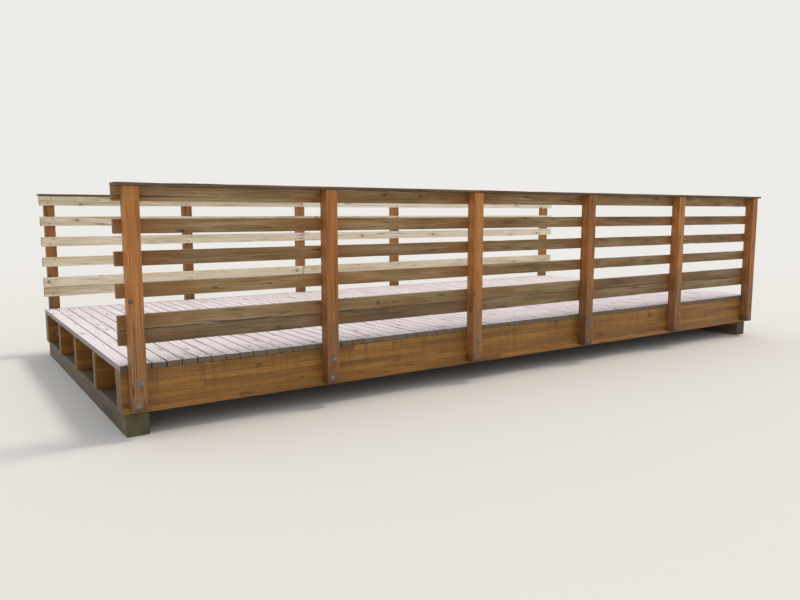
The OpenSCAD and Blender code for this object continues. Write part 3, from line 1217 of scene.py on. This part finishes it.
for side, inward in SIDES.items():
    screws = []
    for rail in RAILS:
        screws += rail_screws_of(f"{side}_{rail}", inward, rng)
    set_parts(f"{side}_rail_screws", screws, coated, rng)
    set_parts(f"{side}_cap_screws", cap_screws_of(side, rng), coated, rng)
print("Rail screws on each side:", len(screws))

# %% [markdown]
# ## Screws in the deck
# Every deck board has two screws into each girder and stringer, side by side, so that it lies flat when
# it dries and tries to cup. That makes about seven hundred of them, in straight rows across the boards.

# %% Deck screws
screws = []
for bay in BAYS:
    for low, high in timbers_of(bay):
        for y in MEMBER_Y:
            for aside in (-1, 1):
                x = (low.x + high.x) / 2 + aside * DECK_SCREW
                screws.append((deck_screw, (x + off_mark(rng), y + off_mark(rng), high.z), UPWARD))
set_parts("deck_screws", screws, coated, rng)
print("Deck screws:", len(screws), "- their faces:", len(screws) * len(deck_screw.polygons))

# %% [markdown]
# ## Floor
# The bridge stands on its two sills, so a plain pale floor carries it. Far from the bridge the floor
# fades into the backdrop's own colour, so that no horizon shows. Light Path tells the rays of the camera
# and of reflections from the others: only they see the glow, so that it shows and doesn't light the wood.

# %% Floor material
BACKDROP = linear("#eeece8")
# The floor starts to fade this far from the middle of the bridge, and has gone this far
FADE_START, FADE_END = 6.0, 17.0


def seen_by_eye(tree):
    """1 for rays that the camera or a reflection follows, and 0 for rays that light the scene."""
    path = add(tree, "LightPath")
    rays = [path.outputs["Is Camera Ray"], path.outputs["Is Glossy Ray"]]
    return add(tree, "Math", rays, operation="MAXIMUM")


floor_material, tree, shader = new_material("matt_pale_floor")
shader.inputs["Base Color"].default_value = linear("#dedbd5")
shader.inputs["Roughness"].default_value = 0.9
away = add(tree, "VectorMath", [add(tree, "TexCoord").outputs["Object"]], operation="LENGTH")
fade = {"Value": away, "From Min": FADE_START, "From Max": FADE_END}
fade = add(tree, "MapRange", fade, interpolation_type="SMOOTHSTEP")
fade = add(tree, "Math", [fade, seen_by_eye(tree)], operation="MULTIPLY")
glow = add(tree, "Emission", {"Color": BACKDROP})
mixed = add(tree, "MixShader", [fade, shader, glow])
tree.links.new(mixed.outputs[0], tree.nodes["Material Output"].inputs["Surface"])
print("Nodes in the floor:", len(tree.nodes))

# %% Floor
FLOOR_REACH = 60.0
bm = bmesh.new()
bmesh.ops.create_grid(bm, x_segments=2, y_segments=2, size=FLOOR_REACH)
floor = put_in_scene("floor", to_mesh("floor", bm))
floor.data.materials.append(floor_material)
print("Floor:", round(floor.dimensions.x), "m across")

# %% [markdown]
# ## Light
# Soft light from all round shows colours as they are, and one broad sun from high on the right gives
# the posts a lit face and a shaded one. Together they come to a little over 1 on a face that looks up,
# and less under the deck, so that a colour renders about as it is written.

# %% Sky light
SKY_LIGHT = 0.8
world = bpy.data.worlds.new("studio")
bpy.context.scene.world = world
world.use_nodes = True
tree = world.node_tree
tree.nodes.clear()
light = add(tree, "Background", {"Color": linear("#f6f9ff"), "Strength": SKY_LIGHT})
seen_as = add(tree, "Background", {"Color": BACKDROP, "Strength": 1.0})
mixed = add(tree, "MixShader", [seen_by_eye(tree), light, seen_as])
add(tree, "OutputWorld", {"Surface": mixed})
print("Nodes in the sky:", len(tree.nodes))

# %% Sun
# A sun's energy is pi times the light that it puts on a face turned towards it
SUN_LIGHT = 0.45
SUN_WIDTH = math.radians(14)
TOWARDS_SUN = Vector((0.48, -0.05, 0.87))
sun = bpy.data.lights.new("soft_key", "SUN")
sun.energy = SUN_LIGHT * math.pi
sun.angle = SUN_WIDTH
sun.color = linear("#fff6ea")[:3]
key = put_in_scene("soft_key", sun)
key.rotation_euler = TOWARDS_SUN.to_track_quat("Z", "Y").to_euler()
bpy.context.scene.view_settings.view_transform = "Standard"
print("Sun:", round(sun.energy, 2), "- view transform:", bpy.context.scene.view_settings.view_transform)

# %% [markdown]
# ## Camera
# The camera stands where the photo was taken from: off the near left end, just below the height of the
# cap, so that the near guard is seen from outside and the far guard from the walkway. It is turned so
# that the whole bridge fills the frame.

# %% Camera
EYE = Vector((-4.2775, -5.878, 1.349))
YAW, PITCH, VIEW_WIDTH = (math.radians(a) for a in (56.0, -7.0, 59.0))
camera = put_in_scene("camera", bpy.data.cameras.new("camera"))
bpy.context.scene.camera = camera
camera.location = EYE
looking = Vector((math.cos(YAW) * math.cos(PITCH), math.sin(YAW) * math.cos(PITCH), math.sin(PITCH)))
camera.rotation_euler = looking.to_track_quat("-Z", "Y").to_euler()
camera.data.sensor_width = 36.0
camera.data.lens = camera.data.sensor_width / 2 / math.tan(VIEW_WIDTH / 2)
print("Lens:", round(camera.data.lens, 1), "mm")
